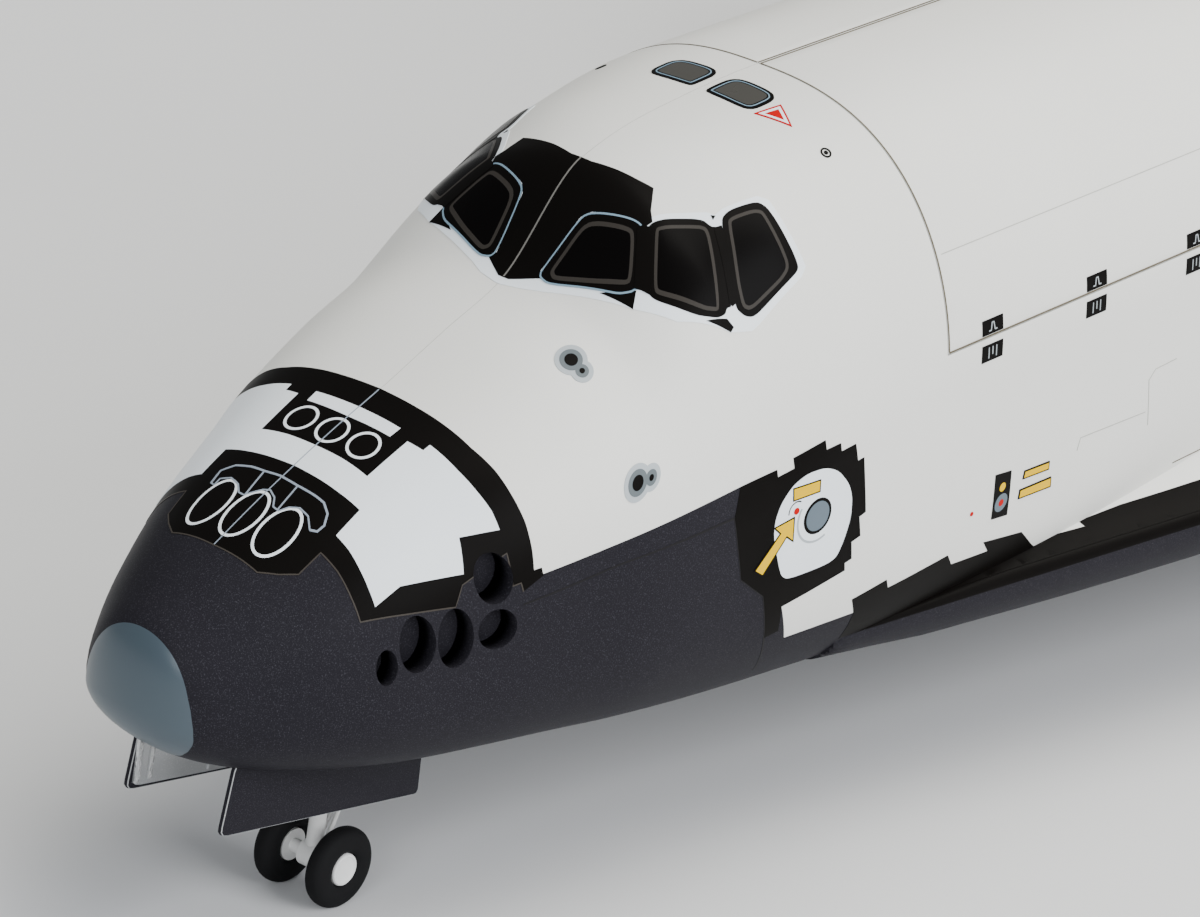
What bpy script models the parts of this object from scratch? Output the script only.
"""Display model of a winged space shuttle, 1:144, parked on its landing gear.

Lengths are given as on the full-size ship, in inches, and INCH turns them into metres of the model.
A place is (side, station, height): side is positive to port, station runs aft from a datum ahead of
the nose, height runs up from the ship's own datum. The nose points along -Y, and the ship's frame
leans nose down until all wheels stand on z = 0.
"""

from math import asin, atan2, cos, hypot, pi, radians, sin, sqrt, tan

import bpy
import bmesh
from mathutils import Matrix, Vector

# Scale, and the gap left between pieces that touch on the model
SCALE = 144
INCH = 0.0254 / SCALE
GAP = 0.6

# Fuselage
NOSE_TIP = (249.5, 338.0)
CAP_EDGE = 256.0
CABIN_END = 582.0
BAY_END = 1307.0
BASE = 1511.0
SECTIONS = (
    # station, top, bottom, half width, height of greatest width, roundness over (side, height), under
    (256.0, 365.0, 323.7, 24.5, 336.0, 2.06, 2.06, 2.1),
    (270.0, 375.5, 313.5, 36.3, 337.0, 2.10, 2.10, 2.3),
    (291.0, 387.0, 305.0, 48.8, 338.0, 2.20, 2.20, 2.4),
    (324.0, 403.0, 297.5, 62.8, 340.0, 2.45, 2.45, 2.6),
    (351.0, 414.5, 292.5, 71.0, 344.0, 2.55, 2.55, 2.7),
    (376.0, 424.0, 290.0, 78.5, 350.0, 2.65, 2.65, 2.8),
    (410.0, 438.0, 287.0, 86.0, 356.0, 2.65, 2.55, 3.0),
    (439.0, 449.5, 284.0, 91.5, 362.0, 2.50, 2.30, 3.2),
    (479.5, 487.5, 279.0, 96.0, 374.0, 2.15, 1.85, 3.4),
    (520.0, 496.5, 276.0, 100.5, 386.0, 2.55, 1.75, 3.6),
    (CABIN_END, 500.5, 272.5, 104.0, 400.0, 2.60, 1.90, 4.0),
    (700.0, 500.5, 269.0, 104.0, 400.0, 2.60, 1.90, 4.5),
    (BAY_END, 500.5, 267.0, 104.0, 400.0, 2.60, 1.90, 4.5),
    (1400.0, 500.5, 268.0, 112.0, 392.0, 2.80, 2.00, 4.5),
    (BASE, 498.0, 281.0, 128.0, 380.0, 3.20, 2.20, 4.5),
)
STEPS_UNDER = 7
STEPS_OVER = 10

# Forward thruster recesses on each side: side, station and height of the middle, half length, half height
SIDE_THRUSTERS = (
    (60.4, 319.3, 352.7, 4.0, 6.8),
    (63.6, 331.1, 359.3, 7.0, 10.7),
    (68.6, 345.9, 358.8, 7.1, 11.3),
    (74.1, 362.4, 359.3, 7.7, 7.7),
    (70.4, 361.8, 378.2, 7.2, 9.2),
)
THRUSTER_DEPTH = 7.5
THRUSTER_LEAN = 0.3
THRUSTER_SIDES = 18

# Payload bay and its doors
BAY_CENTRE = 400.0
BAY_RADIUS = 95.0
SILL = 414.0
TROUGH_WALL = 2.4
RIB_DEPTH = 3.5
RIB_WIDTH = 6.0
RIB_PITCH = 59.0
RIBS = 12
BULKHEAD_THICK = 5.0
AIRLOCK_HATCH = (20.0, 392.0, 5.0)
DOOR_THICK = 4.5
DOOR_HINGE = (104.8, SILL)
RADIATOR_THICK = 2.4

# Wing
WING_START = 550.0
LEADING_EDGE = 836.0
GLOVE_START = (105.0, 650.0)
GLOVE_SLOPE = 0.158
GLOVE_HEIGHT = (555.0, 299.5)
WING_INNER = 64.0
TIP = 468.0
TRAILING_EDGE = 1525.2
TRAILING_SLOPE = 0.1774
DIHEDRAL = tan(radians(3.5))
ELEVON_HINGE = 1387.0
ELEVONS = (("inner", 134.0, 311.5), ("outer", 313.5, 462.0))

# Fin and rudder
FIN_ROOT = (503.0, 1277.0, 1545.3)
FIN_TIP = (818.7, 1592.5, 1701.0)
FIN_HINGE = 0.6
RUDDER = (541.0, 811.0)

# Landing gear: axle station and height, side of the leg, wheel radius and width
NOSE_AXLE = (356.0, 239.0)
NOSE_WHEEL = (16.0, 8.8, 13.0)
MAIN_AXLE = (1172.0, 189.25)
MAIN_SIDE = 136.0
MAIN_WHEEL = (22.25, 16.0, 16.5)
WELL_ROOF = 296.0
TYRE_SIDES = 28

# Wheels stand on a flat of their many-sided tyres, so the floor is a little nearer than the radius
FLAT = cos(pi / TYRE_SIDES)
AXLE_RUN = MAIN_AXLE[0] - NOSE_AXLE[0]
AXLE_RISE = MAIN_AXLE[1] - NOSE_AXLE[1]
NOSE_DOWN = asin((MAIN_WHEEL[0] - NOSE_WHEEL[0]) * FLAT / hypot(AXLE_RUN, AXLE_RISE)) - atan2(AXLE_RISE, AXLE_RUN)

COLOURS = {
    "white_plastic": ((0.68, 0.68, 0.65), 0.38, 0.0),
    "black_paint": ((0.028, 0.027, 0.031), 0.5, 0.0),
    "nose_grey": ((0.10, 0.14, 0.17), 0.35, 0.0),
    "bay_grey": ((0.42, 0.43, 0.43), 0.5, 0.0),
    "engine_metal": ((0.30, 0.29, 0.28), 0.35, 0.7),
    "radiator_silver": ((0.62, 0.63, 0.64), 0.25, 0.8),
    "tyre_black": ((0.02, 0.02, 0.02), 0.8, 0.0),
}


def clear_scene():
    for thing in list(bpy.data.objects):
        bpy.data.objects.remove(thing)


def material(name):
    known = bpy.data.materials.get(name)
    if known:
        return known
    colour, roughness, metallic = COLOURS[name]
    made = bpy.data.materials.new(name)
    made.use_nodes = True
    shader = made.node_tree.nodes["Principled BSDF"]
    shader.inputs["Base Color"].default_value = (*colour, 1.0)
    shader.inputs["Roughness"].default_value = roughness
    shader.inputs["Metallic"].default_value = metallic
    return made


def add_ship_frame():
    """The empty that carries every piece: it leans the ship and centres it over the floor."""
    nose = NOSE_TIP[0] * cos(NOSE_DOWN) - NOSE_TIP[1] * sin(NOSE_DOWN)
    tail = FIN_TIP[2] * cos(NOSE_DOWN) - FIN_TIP[0] * sin(NOSE_DOWN)
    axle_height = NOSE_AXLE[0] * sin(NOSE_DOWN) + NOSE_AXLE[1] * cos(NOSE_DOWN)
    frame = bpy.data.objects.new("ship_frame", None)
    bpy.context.collection.objects.link(frame)
    frame.rotation_euler.x = NOSE_DOWN
    frame.location = (0, -(nose + tail) / 2 * INCH, (NOSE_WHEEL[0] * FLAT - axle_height) * INCH)
    return frame


def at(side, station, height):
    return Vector((side, station, height)) * INCH


def add_object(name, bm, colour, smooth=30):
    """Makes an object from a bmesh, faces out, smooth below the given edge angle."""
    bmesh.ops.recalc_face_normals(bm, faces=bm.faces)
    mesh = bpy.data.meshes.new(name)
    bm.to_mesh(mesh)
    bm.free()
    mesh.materials.append(material(colour))
    mesh.shade_smooth()
    mesh.set_sharp_from_angle(angle=radians(smooth))
    made = bpy.data.objects.new(name, mesh)
    bpy.context.collection.objects.link(made)
    made.parent = bpy.data.objects["ship_frame"]
    return made


def loft(rings, first_tip=None):
    """Skins closed rings of places with equal counts. The ends are capped, or the first drawn to a tip."""
    bm = bmesh.new()
    rows = [[bm.verts.new(at(*place)) for place in ring] for ring in rings]
    count = len(rows[0])
    for near, far in zip(rows, rows[1:]):
        for i in range(count):
            j = (i + 1) % count
            bm.faces.new((near[i], near[j], far[j], far[i]))
    bm.faces.new(rows[-1])
    if first_tip:
        tip = bm.verts.new(at(*first_tip))
        for i in range(count):
            bm.faces.new((rows[0][i], rows[0][(i + 1) % count], tip))
    else:
        bm.faces.new(rows[0][::-1])
    return bm


def turned(profile, sides, closed=False, start=0.0):
    """Turns (radius, along) points round local Z. An open profile begins and ends on the axis."""
    bm = bmesh.new()
    rows = []
    for radius, along in profile:
        if radius == 0:
            rows.append([bm.verts.new((0, 0, along * INCH))])
            continue
        angles = [start + 2 * pi * i / sides for i in range(sides)]
        rows.append([bm.verts.new((radius * cos(t) * INCH, radius * sin(t) * INCH, along * INCH)) for t in angles])
    pairs = list(zip(rows, rows[1:]))
    if closed:
        pairs.append((rows[-1], rows[0]))
    for near, far in pairs:
        for i in range(sides):
            j = (i + 1) % sides
            corners = [near[i % len(near)], near[j % len(near)], far[j % len(far)], far[i % len(far)]]
            bm.faces.new(list(dict.fromkeys(corners)))
    return bm


def prism(outline, low, high, across):
    """Extrudes a closed outline. across says which of side, station, height the outline leaves out."""
    def place(u, v, w):
        return {"side": (w, u, v), "station": (u, w, v), "height": (u, v, w)}[across]
    return loft([[place(u, v, w) for u, v in outline] for w in (low, high)])


def block(low, high):
    outline = [(low[0], low[1]), (high[0], low[1]), (high[0], high[1]), (low[0], high[1])]
    return prism(outline, low[2], high[2], "height")


def turned_between(start, end, profile, sides=14, twist=0.0):
    """Turns a profile about the line from one place to another. Its lengths are shares of the line."""
    axis = at(*end) - at(*start)
    bm = turned([(radius, share * axis.length / INCH) for radius, share in profile], sides, start=twist)
    turn = axis.to_track_quat("Z", "Y").to_matrix().to_4x4()
    bmesh.ops.transform(bm, matrix=Matrix.Translation(at(*start)) @ turn, verts=bm.verts)
    return bm


def rod(start, end, radius, sides=14, twist=0.0):
    return turned_between(start, end, [(0, 0), (radius, 0), (radius, 1), (0, 1)], sides, twist)


def tool(name, bm):
    """A cutter, kept in the scene but not part of the model."""
    made = add_object(name, bm, "white_plastic")
    made.hide_render = True
    made.display_type = "WIRE"
    return made


def combine(target, other, operation):
    step = target.modifiers.new(other.name, "BOOLEAN")
    step.operation = operation
    step.solver = "EXACT"
    step.object = other
    return target


def cut(target, *tools):
    for other in tools:
        combine(target, other, "DIFFERENCE")
    return target


def add_to(target, *tools):
    for other in tools:
        combine(target, other, "UNION")
    return target


# Fuselage shape

def row_at(station):
    """Section values at a station, smooth in the root of the distance behind the nose tip."""
    tip = (NOSE_TIP[0], NOSE_TIP[1], NOSE_TIP[1], 0.0, NOSE_TIP[1], 2.06, 2.06, 2.1)
    rows = (tip,) + SECTIONS
    places = [sqrt(row[0] - NOSE_TIP[0]) for row in rows]
    here = sqrt(max(station - NOSE_TIP[0], 0.0))
    k = max(i for i in range(len(rows) - 1) if places[i] <= here or i == 0)
    span = places[k + 1] - places[k]
    t = (here - places[k]) / span
    values = []
    for c in range(1, len(tip)):
        slopes = [(rows[i + 1][c] - rows[i][c]) / (places[i + 1] - places[i]) for i in range(len(rows) - 1)]

        def lean(i):
            if i == 0:
                return slopes[0]
            if i == len(rows) - 1:
                return slopes[-1]
            before, after = slopes[i - 1], slopes[i]
            return 0.0 if before * after <= 0 else 2 * before * after / (before + after)

        start, end = rows[k][c], rows[k + 1][c]
        values.append(
            start * (1 + 2 * t) * (1 - t) ** 2 + end * t * t * (3 - 2 * t)
            + span * (lean(k) * t * (1 - t) ** 2 - lean(k + 1) * t * t * (1 - t))
        )
    return values


def section_point(station, turn, grow=0.0):
    """A point of the section: turn is -90 degrees at the keel, 0 at the side and 90 on the crown."""
    top, bottom, half, wide, over_side, over_height, under = row_at(station)
    level, rise = abs(cos(turn)), abs(sin(turn))
    if turn > 0:
        return (half + grow) * level ** (2 / over_side), wide + (top - wide + grow) * rise ** (2 / over_height)
    return (half + grow) * level ** (2 / under), wide - (wide - bottom + grow) * rise ** (2 / under)


def half_section(station, grow=0.0):
    turns = [-pi / 2 * (1 - i / STEPS_UNDER) for i in range(STEPS_UNDER)]
    turns += [pi / 2 * i / STEPS_OVER for i in range(STEPS_OVER + 1)]
    return [section_point(station, t, grow) for t in turns]


def full_ring(station, grow=0.0):
    half = half_section(station, grow)
    port = [(side, station, height) for side, height in half]
    starboard = [(-side, station, height) for side, height in half[-2:0:-1]]
    return port + starboard


def hull_stations(first, last):
    nose = [row[0] for row in SECTIONS]
    between = [262.0, 280.0, 307.0, 337.0, 363.0, 392.0, 424.0, 452.0, 466.0, 493.0, 506.0, 548.0, 640.0, 1355.0, 1455.0]
    return [first] + sorted(s for s in nose + between if first + 2 < s < last - 2) + [last]


def add_fuselage_half(name, hand):
    """One moulded half, open at the payload bay and cut for the gear well and the thrusters."""
    rings = []
    for station in hull_stations(CAP_EDGE + GAP / 2, BASE):
        points = [(max(side, GAP / 2), height) for side, height in half_section(station)]
        rings.append([(hand * side, station, height) for side, height in points])
    return add_object(name, loft(rings), "white_plastic")


def bay_outline():
    """Section of the space cut out of the hull: the round bay, and all that the doors close."""
    arc = [(BAY_RADIUS * cos(-pi * i / 16), BAY_CENTRE + BAY_RADIUS * sin(-pi * i / 16)) for i in range(17)]
    return [(150, 540), (150, SILL), (BAY_RADIUS, SILL)] + arc + [(-BAY_RADIUS, SILL), (-150, SILL), (-150, 540)]


def thruster_tools(hand):
    """Cutters of one side's thruster recesses: oval, with floors that lean as the nose does."""
    tools = []
    turns = [2 * pi * i / THRUSTER_SIDES for i in range(THRUSTER_SIDES)]
    for number, (side, station, height, length, rise) in enumerate(SIDE_THRUSTERS):
        rings = []
        for offset in (-THRUSTER_DEPTH, THRUSTER_DEPTH * 3):
            outline = [(length * cos(t), rise * sin(t)) for t in turns]
            rings.append([(hand * (side + offset + THRUSTER_LEAN * u), station + u, height + v) for u, v in outline])
        tools.append(tool(f"thruster_tool_{number}_{hand}", loft(rings)))
    return tools


def add_nose_cap():
    stations = [NOSE_TIP[0] + (CAP_EDGE - GAP / 2 - NOSE_TIP[0]) * f for f in (0.03, 0.12, 0.27, 0.48, 0.74, 1.0)]
    rings = [full_ring(s) for s in stations]
    return add_object("nose_cap", loft(rings, first_tip=(0, NOSE_TIP[0], NOSE_TIP[1])), "nose_grey", 60)


# Payload bay

def disc_outline(radius, steps=24):
    return [(radius * cos(2 * pi * i / steps), BAY_CENTRE + radius * sin(2 * pi * i / steps)) for i in range(steps)]


def add_bay():
    """The round lining with its frames, and a bulkhead set into each end of it."""
    outer = BAY_RADIUS - GAP
    plain = outer - TROUGH_WALL
    first = CABIN_END + GAP
    last = BAY_END - GAP
    steps = 12

    def ring(station, inner):
        arc = [-pi * i / steps for i in range(steps + 1)]
        out = [(outer * cos(t), station, BAY_CENTRE + outer * sin(t)) for t in arc]
        back = [(inner * cos(t), station, BAY_CENTRE + inner * sin(t)) for t in arc[::-1]]
        return [(outer, station, SILL - GAP)] + out + [(-outer, station, SILL - GAP), (-inner, station, SILL - GAP)] \
            + back + [(inner, station, SILL - GAP)]

    rings = [ring(first, plain)]
    for i in range(RIBS):
        start = (first + last - RIB_WIDTH) / 2 + (i - (RIBS - 1) / 2) * RIB_PITCH
        for station, inner in ((start, plain), (start, plain - RIB_DEPTH),
                               (start + RIB_WIDTH, plain - RIB_DEPTH), (start + RIB_WIDTH, plain)):
            rings.append(ring(station, inner))
    rings.append(ring(last, plain))
    add_object("bay_trough", loft(rings), "bay_grey")

    disc = disc_outline(plain - GAP)
    inside = first + BULKHEAD_THICK
    front = add_object("bay_bulkhead_front", prism(disc, first, inside, "station"), "bay_grey")
    radius, height, boss = AIRLOCK_HATCH
    hatch = [(s, h - BAY_CENTRE + height) for s, h in disc_outline(radius, 24)]
    add_to(front, tool("airlock_tool", prism(hatch, inside - 2, inside + boss, "station")))
    add_object("bay_bulkhead_rear", prism(disc, last - BULKHEAD_THICK, last, "station"), "bay_grey")


def door_profile(inset, low, high, steps):
    """Points of the bay section between two heights or sides, moved in from the skin."""
    top, _, half, wide, over_side, over_height, _ = row_at(900.0)
    first = asin(((low - wide) / (top - wide)) ** (over_height / 2))
    last = pi / 2 - asin(min(1.0, (high / half) ** (over_side / 2)))
    points = []
    for i in range(steps + 1):
        t = first + (last - first) * (i / steps) ** 0.85
        side, height = section_point(900.0, t)
        ahead = Vector(section_point(900.0, min(t + 0.02, pi / 2)))
        behind = Vector(section_point(900.0, max(t - 0.02, 0.001)))
        along = (ahead - behind).normalized()
        points.append((side - along.y * inset, height + along.x * inset))
    return points


def add_doors():
    for name, hand in (("left", 1), ("right", -1)):
        hinge = bpy.data.objects.new(f"payload_door_{name}_hinge", None)
        bpy.context.collection.objects.link(hinge)
        hinge.parent = bpy.data.objects["ship_frame"]
        hinge.location = at(hand * DOOR_HINGE[0], (CABIN_END + BAY_END) / 2, DOOR_HINGE[1])

        def panel(outer, inner, low, high, first, last):
            skin = door_profile(outer, low, high, 16)
            lining = door_profile(inner, low, high, 16)[::-1]
            return loft([[(hand * s, x, h) for s, h in skin + lining] for x in (first, last)])

        door = panel(0.0, DOOR_THICK, SILL + GAP, GAP / 2, CABIN_END + GAP, BAY_END - GAP)
        low, inset = SILL + 14, DOOR_THICK + GAP
        radiator = panel(inset, inset + RADIATOR_THICK, low, 9.0, CABIN_END + 20, BAY_END - 180)
        for label, bm, colour in (("payload_door", door, "white_plastic"), ("radiator", radiator, "radiator_silver")):
            bmesh.ops.translate(bm, vec=-hinge.location, verts=bm.verts)
            add_object(f"{label}_{name}", bm, colour).parent = hinge


def add_arm():
    """Manipulator arm stowed along the port sill on three pedestals."""
    side, height, radius, joint = 79.0, 424.0, 4.6, 6.4
    shoulder, elbow, wrist, hand = 680.0, 936.0, 1180.0, 1215.0
    profile = [(0, shoulder - 10), (joint, shoulder - 10), (joint, shoulder + 10), (radius, shoulder + 10)]
    for station in (elbow, wrist):
        profile += [(radius, station - 9), (joint, station - 9), (joint, station + 9), (radius, station + 9)]
    profile += [(radius, hand), (0, hand)]
    shares = [(r, (x - profile[0][1]) / (hand - profile[0][1])) for r, x in profile]
    arm = turned_between((side, profile[0][1], height), (side, hand, height), shares)
    arm = add_object("manipulator_arm", arm, "bay_grey")
    foot = SILL
    outline = [(side - 3, height - 2.5), (side + 7, height - 2.5), (side + 8, foot), (side + 14, foot),
               (side + 12, height + 2.5), (side - 3, height + 2.5)]
    for number, station in enumerate((730.0, 900.0, 1120.0)):
        add_to(arm, tool(f"pedestal_tool_{number}", prism(outline, station, station + 11, "station")))


# Wing shape

def belly(side, station=BAY_END):
    """Flat of the underside: level with the keel, drawn up where it tucks under the hull's round corner."""
    keel = row_at(min(station, BAY_END))[1]
    tuck = 4.0 * (max(0.0, 105.0 - side) / 43.0) ** 2
    return keel + tuck + max(0.0, side - 105.0) * DIHEDRAL


def leading_edge(side):
    glove = GLOVE_START[1] + (side - GLOVE_START[0]) / GLOVE_SLOPE
    wing = LEADING_EDGE + side
    blend = 14.0
    edge = (wing + glove - sqrt((wing - glove) ** 2 + blend ** 2)) / 2
    rounding = max(0.0, side - 436.0) / 32.0
    return edge + 46.0 * rounding ** 3


def trailing_edge(side):
    return TRAILING_EDGE - TRAILING_SLOPE * side


def edge_normal(side):
    """How fast one leaves the leading edge per inch aft: slow along the glove, fast on the wing."""
    t = min(1.0, max(0.0, (side - 141.0) / 40.0))
    return 0.156 + (0.707 - 0.156) * t * t * (3 - 2 * t)


def edge_height(side):
    """Height of the leading edge: nearly level along the glove, then down to the thin edge of the wing."""
    edge = leading_edge(side)
    glove = GLOVE_HEIGHT[1] - 0.0095 * (edge - GLOVE_HEIGHT[0]) - 0.0003 * max(0.0, edge - 740.0) ** 2
    return max(glove, belly(side) + 9.0 - 4.0 * side / TIP)


def wing_heights(side, station):
    """Under and upper surface of the wing."""
    off_edge = max(0.0, station - leading_edge(side)) * edge_normal(side)
    front = min(1.0, max(0.0, (610.0 - station) / 60.0))
    reach = 40.0 + 22.0 * front - 14.0 * min(1.0, max(0.0, (station - 640.0) / 200.0))
    rounded = sqrt(1 - (1 - min(1.0, off_edge / reach)) ** 2)
    flat = belly(side, station)
    rise = edge_height(side) - flat
    under = flat + rise * (1 - rounded)
    lip = 4.5 * min(1.0, max(0.2, (station - 530.0) / 110.0))
    nose = min(1.0, off_edge / lip)
    fade = min(1.0, max(0.0, (1330.0 - station) / 280.0))
    fade = fade * fade * (3 - 2 * fade)
    inward = min(30.0, off_edge)
    fillet = 0.30 * max(0.0, inward - lip) + 0.012 * inward ** 2
    glove = rise * rounded + lip * sqrt(1 - (1 - nose) ** 2) + fillet
    root = LEADING_EDGE + side + 46.0 * (max(0.0, side - 436.0) / 32.0) ** 3
    chord = min(1.0, max(0.0, (station - root) / (trailing_edge(side) - root)))
    thick = 54.0 - 0.121 * max(0.0, side - 105.0)
    wing = thick * sqrt(chord) * (1 - chord) / 0.385 + 3.0 * chord
    return under, under + ((glove * fade) ** 4 + wing ** 4) ** 0.25


def wing_ring(side, hand, first=None, steps=15):
    """Section of the wing, or of its part aft of a station, as a ring of places."""
    start = max(leading_edge(side), WING_START - 50.0) if first is None else first
    end = trailing_edge(side)
    spread = 1.7 if first is None else 1.0
    stations = [start + (end - start) * (i / steps) ** spread for i in range(steps + 1)]
    heights = [wing_heights(side, s) for s in stations]
    upper = [(hand * side, s, h[1]) for s, h in zip(stations, heights)][::-1]
    under = [(hand * side, s, h[0]) for s, h in zip(stations, heights)]
    return upper + (under[1:] if first is None else under)


def add_wings(skin_tool):
    inboard = [WING_INNER, 72.0, 80.0, 87.0, 91.0, 95.0, 100.0, 106.0, 113.0, 121.0, 130.0, 140.0, 148.0, 155.0, 162.0,
               170.0, 180.0]
    outboard = [200.0, 240.0, 300.0, 360.0, 420.0, 440.0, 452.0, 461.0, TIP]
    for name, hand in (("left", 1), ("right", -1)):
        wing = add_object(f"wing_{name}", loft([wing_ring(s, hand) for s in inboard + outboard]), "black_paint", 25)
        low, high = sorted((hand * 60.0, hand * 140.0))
        front = tool(f"glove_front_tool_{name}", block((low, 300.0, 200.0), (high, WING_START, 400.0)))
        low, high = sorted((hand * (ELEVONS[0][1] - GAP), hand * (ELEVONS[1][2] + GAP)))
        slot = tool(f"elevon_slot_tool_{name}", block((low, ELEVON_HINGE - GAP, 200.0), (high, 1600.0, 400.0)))
        well_low, well_high = sorted((hand * 109.0, hand * 165.0))
        well = tool(f"main_well_tool_{name}", block((well_low, 1062.0, 240.0), (well_high, 1200.0, WELL_ROOF)))
        cut(wing, skin_tool, front, slot, well)
        for label, near, far in ELEVONS:
            sides = [near, (near * 2 + far) / 3, (near + far * 2) / 3, far]
            rings = [wing_ring(s, hand, first=ELEVON_HINGE + GAP / 2, steps=6) for s in sides]
            add_object(f"elevon_{label}_{name}", loft(rings), "white_plastic")


# Tail

def fin_edges(height):
    t = (height - FIN_ROOT[0]) / (FIN_TIP[0] - FIN_ROOT[0])
    front = FIN_ROOT[1] + (FIN_TIP[1] - FIN_ROOT[1]) * t
    back = FIN_ROOT[2] + (FIN_TIP[2] - FIN_ROOT[2]) * t
    return front, back, 13.5 - 8.5 * t


def fin_half(height, share):
    """Half thickness of the fin at a share of its chord: a wedge to the hinge line and one behind it."""
    widest = fin_edges(height)[2]
    if share < FIN_HINGE:
        return widest * min(1.0, (share / FIN_HINGE) ** 0.62)
    return widest + (1.6 - widest) * (share - FIN_HINGE) / (1 - FIN_HINGE)


def fin_station(height, share):
    front, back, _ = fin_edges(height)
    return front + (back - front) * share


def fin_ring(height, shares):
    port = [(fin_half(height, f), fin_station(height, f), height) for f in shares]
    starboard = [(-s, x, h) for s, x, h in port[::-1] if s > 0]
    return port + starboard


def add_tail(skin_tool):
    shares = (0.0, 0.015, 0.06, 0.16, 0.34, FIN_HINGE, 0.8, 1.0)
    heights = [488.0, 541.0, 631.0, 721.0, 811.0, 816.5]
    rings = [fin_ring(h, shares) for h in heights]
    top = [(s * 0.55, x, FIN_TIP[0]) for s, x, _ in fin_ring(FIN_TIP[0], shares)]
    fin = add_object("tail_fin", loft(rings + [top]), "white_plastic", 25)
    low, high = RUDDER[0] - GAP, RUDDER[1] + GAP
    slot = [(fin_station(low, FIN_HINGE), low), (fin_station(high, FIN_HINGE), high), (1800, high), (1800, low)]
    under = [(BASE - 5, 400), (BASE - 5, 501), (1560, 513), (1700, 513), (1700, 400)]
    foot = tool("fin_foot_tool", prism(under, -50, 50, "side"))
    cut(fin, skin_tool, foot, tool("rudder_slot_tool", prism(slot, -40, 40, "side")))
    rings = []
    for height in (RUDDER[0], 631.0, 721.0, RUDDER[1]):
        start = FIN_HINGE + GAP / (fin_edges(height)[1] - fin_edges(height)[0])
        rings.append(fin_ring(height, (start, 0.74, 0.88, 1.0)))
    add_object("rudder", loft(rings), "white_plastic", 25)


def add_body_flap():
    outline = [(BASE + 1.2, 283.5), (1613.0, 292.0), (1613.0, 295.5), (BASE + 1.2, 304.0)]
    add_object("body_flap", prism(outline, -118.0, 118.0, "side"), "black_paint")


def add_pods(skin_tool):
    stations = (
        # station, side, height, half width, half height
        (1310.0, 76.0, 478.0, 5.0, 5.0),
        (1318.0, 77.0, 479.5, 17.0, 14.0),
        (1335.0, 78.5, 481.5, 29.0, 26.0),
        (1360.0, 80.5, 484.5, 38.0, 37.0),
        (1395.0, 83.0, 488.0, 44.5, 46.0),
        (1440.0, 86.0, 491.0, 48.0, 53.0),
        (1485.0, 88.0, 492.0, 48.5, 54.5),
        (BASE, 88.0, 492.0, 46.5, 51.5),
    )
    for name, hand in (("left", 1), ("right", -1)):
        rings = []
        for station, side, height, half, rise in stations:
            ring = []
            for i in range(28):
                t = 2 * pi * i / 28
                across = half * abs(cos(t)) ** 0.82 * (1 if cos(t) > 0 else -1)
                up = rise * abs(sin(t)) ** 0.82 * (1 if sin(t) > 0 else -1)
                ring.append((hand * (side + across), station, height + up))
            rings.append(ring)
        pod = add_object(f"oms_pod_{name}", loft(rings), "white_plastic", 40)
        outline = [(113, 450), (137, 450), (142, 458), (142, 480), (137, 487), (113, 487)]
        bm = prism([(hand * s, h) for s, h in outline], 1470.0, 1553.0, "station")
        add_to(pod, tool(f"stinger_tool_{name}", bm))
        cut(pod, skin_tool)


# Engines

def add_engine(name, gimbal, up, out, first, length, throat, mouth, wall, sides):
    """A bell, hollow from its mouth to a closed throat, on an axis canted up and outboard."""
    steps = 5
    curve = [(throat + (mouth - throat) * (i / steps) ** 0.62, first + (length - first) * i / steps)
             for i in range(steps + 1)]
    inner = [(radius - wall, along) for radius, along in curve[::-1]]
    inner[-1] = (inner[-1][0], first + 4.0)
    profile = [(0, first)] + curve + inner + [(0, first + 4.0)]
    bell = add_object(name, turned(profile, sides), "engine_metal", 40)
    way = Vector((sin(radians(out)), cos(radians(out)) * cos(radians(up)), sin(radians(up))))
    bell.rotation_euler = way.to_track_quat("Z", "Y").to_euler()
    bell.location = at(*gimbal)
    return way


def add_engines():
    shield_ring = [(side * 0.97, 390 + (height - 390) * 0.97) for side, _, height in full_ring(BASE)]
    shield = add_object("heat_shield", prism(shield_ring, BASE + GAP, BASE + 5.0, "station"), "black_paint", 40)
    for name, side, station, height, up, out, radius in (
        ("top", 0.0, 1445.0, 443.0, 16.0, 0.0, 42.0),
        ("left", 53.0, 1468.0, 342.6, 10.0, 3.5, 46.0),
        ("right", -53.0, 1468.0, 342.6, 10.0, -3.5, 46.0),
    ):
        gimbal = (side, station, height)
        way = add_engine(f"main_engine_{name}", gimbal, up, out, 86.6, 168.0, 23.0, 45.0, 2.6, 26)
        centre = Vector(gimbal)
        along = way.to_track_quat("Z", "Y").to_matrix().to_4x4()
        dome = turned([(0, 30), (radius, 30), (radius, 58), (radius * 0.9, 70), (30, 86), (0, 86)], 26)
        bmesh.ops.transform(dome, matrix=Matrix.Translation(centre * INCH) @ along, verts=dome.verts)
        add_to(shield, tool(f"dome_tool_{name}", dome))
    front = tool("shield_front_tool", block((-200, 1400, 200), (200, BASE + GAP, 600)))
    foot = tool("shield_foot_tool", block((-200, 1500, 200), (200, 1600, 305.2)))
    cut(shield, front, foot)
    for name, hand in (("left", 1), ("right", -1)):
        add_engine(f"oms_nozzle_{name}", (hand * 88.0, 1518.0, 492.0), 15.8, hand * 6.5, -3.0, 58.0, 9.0, 21.5, 2.2, 20)


# Landing gear

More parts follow.
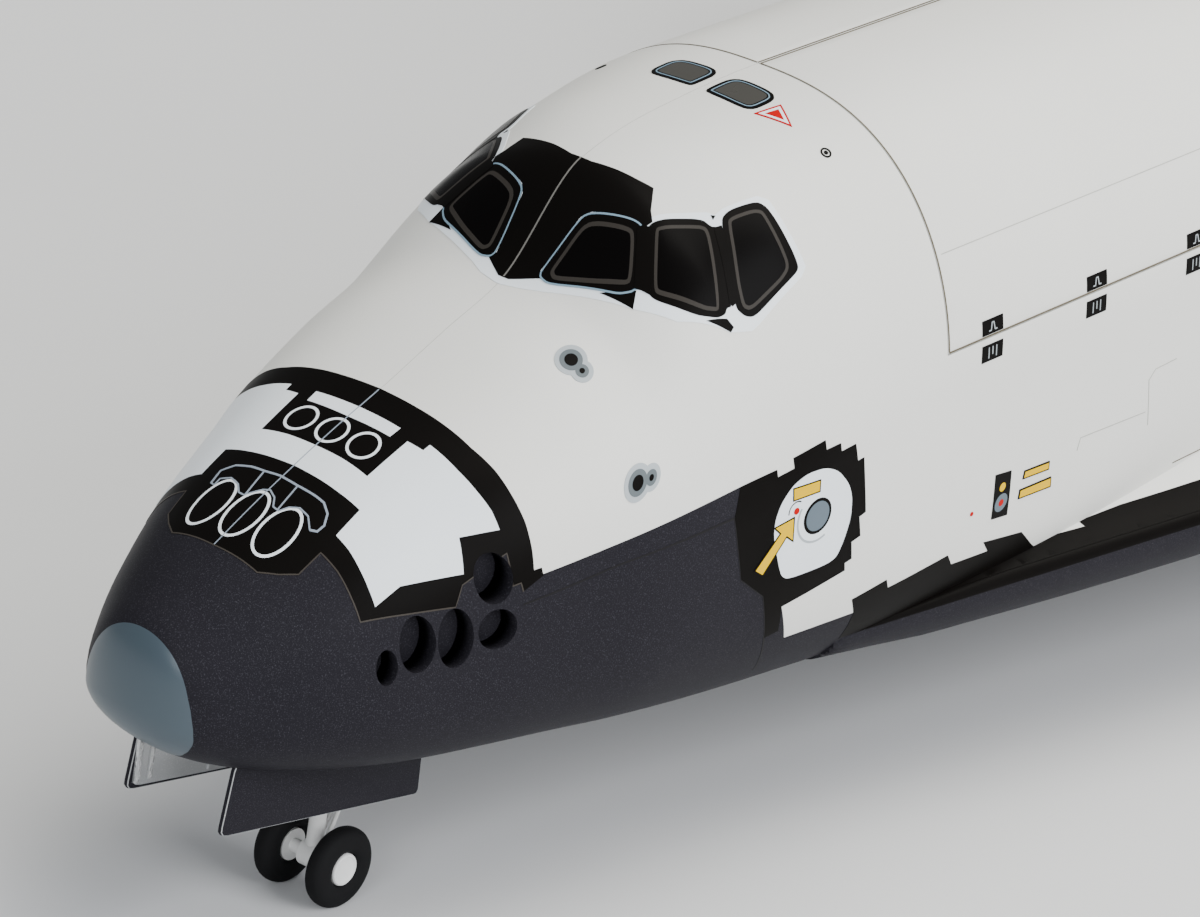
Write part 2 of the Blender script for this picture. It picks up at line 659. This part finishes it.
def add_wheel_pair(name, axle, side, wheel, hub, shaft):
    """Two wheels on one axle, turning together: a turned hub with its axle, and two tyres."""
    radius, width, reach = wheel
    station, height = axle
    out, into = reach + width / 2, reach - width / 2
    half = [(shaft, into + 1.2), (hub, into + 1.2), (hub, out - 1.6), (hub * 0.8, out - 0.4), (hub * 0.72, out - 1.8),
            (hub * 0.3, out - 1.2), (0, out - 1.2)]
    profile = [(r, -a) for r, a in half[::-1]] + half
    turn = Matrix.Rotation(pi / 2, 4, "Y")

    def mount(label, bm, colour, shift=0.0):
        bmesh.ops.transform(bm, matrix=Matrix.Translation(at(shift, 0, 0)) @ turn, verts=bm.verts)
        made = add_object(label, bm, colour, 40)
        made.location = at(side, station, height)
        made.rotation_euler.x = -NOSE_DOWN
        return made

    mount(f"{name}_hubs", turned(profile, 18), "white_plastic")
    hw, bead = width / 2, hub + GAP
    depth = radius - bead
    wall = [(0, 0.62), (0.14, 0.88), (0.40, 1.0), (0.68, 0.94), (0.90, 0.72), (1.0, 0.40)]
    side_wall = [(bead + depth * out, -hw * share) for out, share in wall]
    ring = side_wall + [(r, -a) for r, a in side_wall[::-1]]
    for label, shift in (("a", reach), ("b", -reach)):
        bm = turned(ring, TYRE_SIDES, closed=True, start=pi / TYRE_SIDES)
        mount(f"{name}_tyre_{label}", bm, "tyre_black", shift)


def add_leg(name, side, axle, top, width, strut, shaft, brace):
    """A strut with an eye round the axle, a stout cylinder above it and a drag brace."""
    foot = Vector((side, *axle))
    head = Vector((side, *top))
    head += (head - foot) * 0.03
    profile = [(0, 0), (strut, 0), (strut, 0.42), (strut * 1.35, 0.45), (strut * 1.35, 1), (0, 1)]
    leg = add_object(name, turned_between(foot, head, profile, 16), "white_plastic", 40)
    eye = rod(foot - Vector((width, 0, 0)), foot + Vector((width, 0, 0)), strut * 1.45, 22, 0.09)
    bar = rod((side, *brace[0]), (side, *brace[1]), strut * 0.5, 9, 0.2)
    add_to(leg, tool(f"{name}_eye_tool", eye), tool(f"{name}_brace_tool", bar))
    bore = rod(foot - Vector((width * 3, 0, 0)), foot + Vector((width * 3, 0, 0)), shaft + GAP, 22, 0.09)
    flat = block((side - 40, top[0] - 200, top[1] - 1.2), (side + 40, top[0] + 60, top[1] + 60))
    cut(leg, tool(f"{name}_bore_tool", bore), tool(f"{name}_top_tool", flat))


def add_gear(skin_tool):
    add_wheel_pair("nose_wheels", NOSE_AXLE, 0.0, NOSE_WHEEL, 6.4, 2.6)
    add_leg("nose_leg", 0.0, NOSE_AXLE, (366.0, 338.0), 4.5, 3.6, 2.6, ((360.5, 280.0), (318.0, 336.0)))
    for name, hand in (("left", 1), ("right", -1)):
        side = hand * MAIN_SIDE
        add_wheel_pair(f"main_wheels_{name}", MAIN_AXLE, side, MAIN_WHEEL, 9.6, 4.0)
        brace = ((1174.0, 238.0), (1112.0, 292.0))
        add_leg(f"main_leg_{name}", side, MAIN_AXLE, (1176.0, WELL_ROOF), 6.6, 5.2, 4.0, brace)
        outline = [(281.0, 318.0), (387.0, 300.0), (384.5, 264.0), (277.0, 285.0)]
        low, high = sorted((hand * 21.0, hand * 24.5))
        door = add_object(f"nose_gear_door_{name}", prism(outline, low, high, "side"), "black_paint")
        cut(door, skin_tool)
        low, high = sorted((hand * 167.0, hand * 171.0))
        under = belly(167.0) - GAP
        outline = [(1060.0, under), (1202.0, under), (1200.0, under - 56.0), (1066.0, under - 56.0)]
        add_object(f"main_gear_door_{name}", prism(outline, low, high, "side"), "black_paint")


def add_hull():
    bay = tool("bay_tool", prism(bay_outline(), CABIN_END, BAY_END, "station"))
    well = tool("nose_well_tool", block((-20.0, 284.0, 240.0), (20.0, 386.0, 338.0)))
    for name, hand in (("fuselage_left", 1), ("fuselage_right", -1)):
        cut(add_fuselage_half(name, hand), bay, well, *thruster_tools(hand))


def main():
    clear_scene()
    add_ship_frame()
    skin = tool("skin_tool", loft([full_ring(s, GAP) for s in hull_stations(CAP_EDGE, BASE + 0.3)]))
    add_hull()
    add_nose_cap()
    add_bay()
    add_doors()
    add_arm()
    add_wings(skin)
    add_tail(skin)
    add_body_flap()
    add_pods(skin)
    add_engines()
    add_gear(skin)


main()
